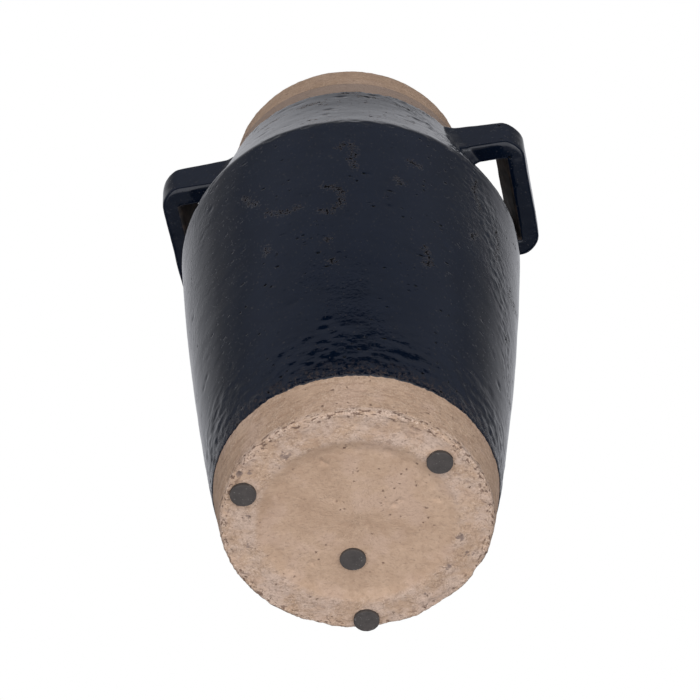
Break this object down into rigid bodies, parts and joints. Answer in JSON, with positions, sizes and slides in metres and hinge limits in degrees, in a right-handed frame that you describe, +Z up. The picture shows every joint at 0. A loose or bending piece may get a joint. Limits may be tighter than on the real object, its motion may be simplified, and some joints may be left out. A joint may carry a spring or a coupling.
{
  "type": "two-handled vase",
  "caption": "Tall clay vase with a wide glazed body, a tapering shoulder, a bare collar and foot, two square side handles and stick-on foot pads.",
  "frame": {"origin": "on the vase's axis, on the surface that its foot pads stand on", "axes": "+Z up along the axis, the handles point along +X and -X"},
  "size_m": [0.2356, 0.2122, 0.3807],
  "materials": {
    "navy_glaze": "gloss",
    "bare_clay": "matte, pitted",
    "pad_rubber": "matte"
  },
  "bodies": {
    "root": {"foot": "bare_clay", "body_wall": "navy_glaze", "shoulder": "navy_glaze", "collar": "bare_clay", "handle_right": "navy_glaze", "handle_left": "navy_glaze", "pad_front_left": "pad_rubber", "pad_front_right": "pad_rubber", "pad_back": "pad_rubber", "pad_middle": "pad_rubber"}
  },
  "joints": []
}
